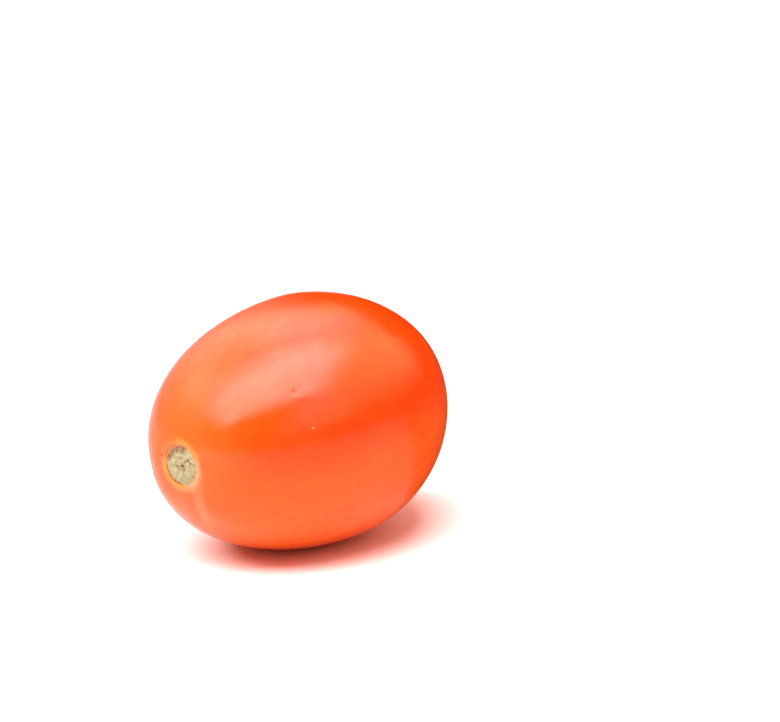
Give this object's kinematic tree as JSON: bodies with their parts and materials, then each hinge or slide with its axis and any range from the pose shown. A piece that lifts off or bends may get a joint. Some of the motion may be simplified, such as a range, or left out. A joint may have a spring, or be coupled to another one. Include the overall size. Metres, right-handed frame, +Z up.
{
  "type": "plum tomato",
  "caption": "Plum tomato as picked, lying on its side: an egg-shaped fruit with smooth orange-red skin, a corky stem scar at one end and a dry blossom point at the other.",
  "frame": {"origin": "middle of the small flat spot that the fruit rests on", "axes": "+Y along the fruit's long axis towards the blossom end, so the stem scar faces -Y; +Z up from the resting surface"},
  "size_m": [0.0495, 0.0682, 0.0491],
  "materials": {
    "tomato_skin": null
  },
  "bodies": {
    "root": {"tomato": "tomato_skin"}
  },
  "joints": []
}
